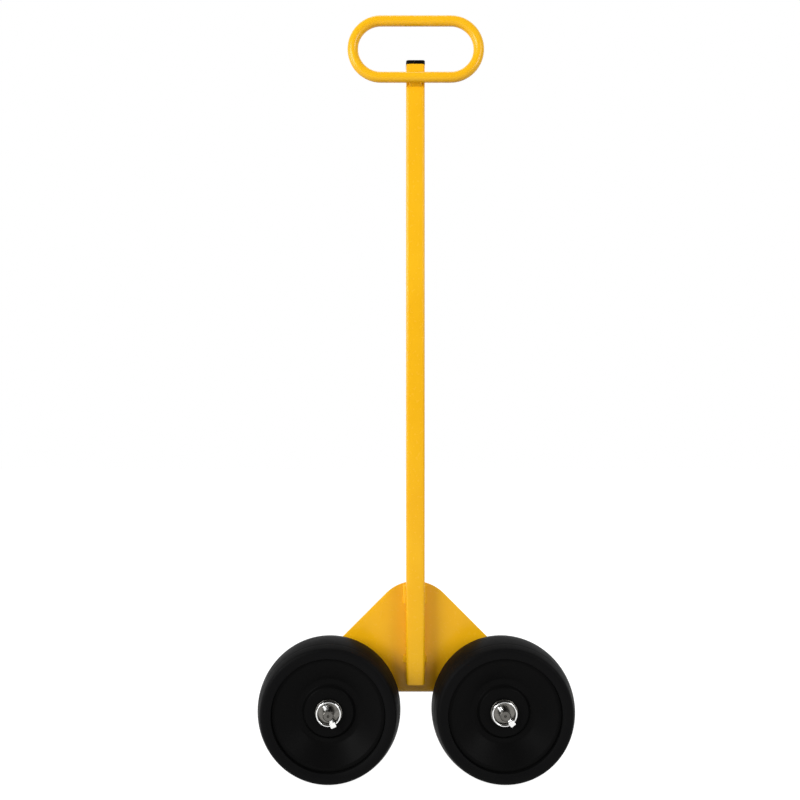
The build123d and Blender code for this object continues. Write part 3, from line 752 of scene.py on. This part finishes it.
stage = {"floorHalf": 6.0, "cameraWhite": 0.96, "floorGain": 0.3}


def makeFloor(look):
    mesh = bpy.data.meshes.new("studio_floor")
    corner = look["floorHalf"]
    mesh.from_pydata([(-corner, -corner, 0), (corner, -corner, 0), (corner, corner, 0), (-corner, corner, 0)], [],
                     [(0, 1, 2, 3)])
    floor = bpy.data.objects.new("studio_floor", mesh)
    bpy.context.scene.collection.objects.link(floor)
    # Pale paper: seen directly or mirrored it glows white, less what the object's shadow takes away. Its own bounce
    # is weaker, so that the bed's underside and the tyres' feet stay dark.
    material = bpy.data.materials.new("white_studio_paper")
    material.use_nodes = True
    tree = material.node_tree
    tree.nodes.clear()
    path = addNode(tree, "ShaderNodeLightPath")
    place = addNode(tree, "ShaderNodeTexCoord").outputs["Object"]
    fibre = addNode(tree, "ShaderNodeTexNoise", {"Scale": 40.0, "Detail": 2.0}, {"Vector": place})
    tone = addNode(tree, "ShaderNodeMapRange", {"To Min": 0.97, "To Max": 1.0}, {"Value": fibre.outputs["Fac"]})
    paper = addNode(tree, "ShaderNodeBsdfDiffuse", {"Color": linear("#9A9A9A")})
    shadowed = addNode(tree, "ShaderNodeBsdfDiffuse", {"Color": (look["floorGain"],) * 3 + (1.0,)})
    glow = addNode(tree, "ShaderNodeEmission", {"Strength": look["cameraWhite"]}, {"Color": tone.outputs["Result"]})
    lit = addNode(tree, "ShaderNodeAddShader", links={0: shadowed.outputs["BSDF"], 1: glow.outputs["Emission"]})
    seen = addNode(tree, "ShaderNodeMath", {"operation": "MAXIMUM"},
                   {0: path.outputs["Is Camera Ray"], 1: path.outputs["Is Transmission Ray"]})
    mirrored = addNode(tree, "ShaderNodeMath", {"operation": "MAXIMUM"},
                       {0: seen.outputs["Value"], 1: path.outputs["Is Glossy Ray"]})
    choose = addNode(tree, "ShaderNodeMixShader",
                     links={0: mirrored.outputs["Value"], 1: paper.outputs["BSDF"], 2: lit.outputs["Shader"]})
    addNode(tree, "ShaderNodeOutputMaterial", links={"Surface": choose.outputs["Shader"]})
    mesh.materials.append(material)


# The background is white for the camera. Mirrored in metal it is white behind the object and dark in front of it,
# where a studio's room is, so that black pieces stay black. As light it is nearly even.
studio = {"mirrored": (0.04, 1.0), "light": (0.32, 0.7), "lamps": (
    ("left_softbox", (-2.7, -2.5, 1.8), (0.0, 0.0, 0.5), 1.8, 1.8, 96.0),
    ("left_strip", (-3.2, -0.5, 0.9), (0.0, 0.0, 0.5), 0.4, 1.6, 20.0),
    ("right_softbox", (2.5, -2.4, 1.7), (0.0, 0.0, 0.5), 1.6, 1.8, 54.0),
    ("top_light", (0.0, 0.6, 3.2), (0.0, 0.0, 0.6), 1.2, 1.2, 7.0),
)}


def makeLight(look):
    world = bpy.data.worlds.new("studio")
    bpy.context.scene.world = world
    world.use_nodes = True
    tree = world.node_tree
    tree.nodes.clear()
    path = addNode(tree, "ShaderNodeLightPath")
    direction = addNode(tree, "ShaderNodeTexCoord").outputs["Generated"]
    parts = addNode(tree, "ShaderNodeSeparateXYZ", links={"Vector": direction})
    mirrored, light = (addNode(
        tree, "ShaderNodeMapRange",
        {"From Min": -0.35, "From Max": 0.35, "To Min": look[name][0], "To Max": look[name][1]},
        {"Value": parts.outputs["Y"]}) for name in ("mirrored", "light"))
    unseen = addNode(tree, "ShaderNodeMix", {"data_type": "FLOAT"}, {
        0: path.outputs["Is Glossy Ray"], 2: light.outputs["Result"], 3: mirrored.outputs["Result"]})
    seen = addNode(tree, "ShaderNodeMath", {"operation": "MAXIMUM"},
                   {0: path.outputs["Is Camera Ray"], 1: path.outputs["Is Transmission Ray"]})
    strength = addNode(tree, "ShaderNodeMath", {"operation": "MAXIMUM"},
                       {0: seen.outputs["Value"], 1: unseen.outputs[0]})
    glow = addNode(tree, "ShaderNodeBackground", {"Color": (1, 1, 1, 1)}, {"Strength": strength.outputs["Value"]})
    addNode(tree, "ShaderNodeOutputWorld", links={"Surface": glow.outputs["Background"]})
    for name, place, target, width, height, power in look["lamps"]:
        lamp = bpy.data.lights.new(name, "AREA")
        lamp.shape = "RECTANGLE"
        lamp.size, lamp.size_y, lamp.energy = width, height, power
        holder = bpy.data.objects.new(name, lamp)
        holder.location = place
        holder.rotation_euler = (Vector(target) - Vector(place)).to_track_quat("-Z", "Y").to_euler()
        bpy.context.scene.collection.objects.link(holder)


def makeCamera():
    # level, 1.6 m in front of the tyres, with the small shift that frames the picture as photographed
    lens = bpy.data.cameras.new("camera")
    lens.sensor_width, lens.lens = 36.0, 41.5
    lens.shift_x, lens.shift_y = 0.0221, -0.0175
    camera = bpy.data.objects.new("camera", lens)
    camera.location = (-0.06, -1.7008, 0.702)
    camera.rotation_euler = (math.pi / 2, 0, 0)
    bpy.context.scene.collection.objects.link(camera)
    bpy.context.scene.camera = camera


makeFloor(stage)
makeLight(studio)
makeCamera()
bpy.context.scene.view_settings.view_transform = "Standard"
print("stage made")
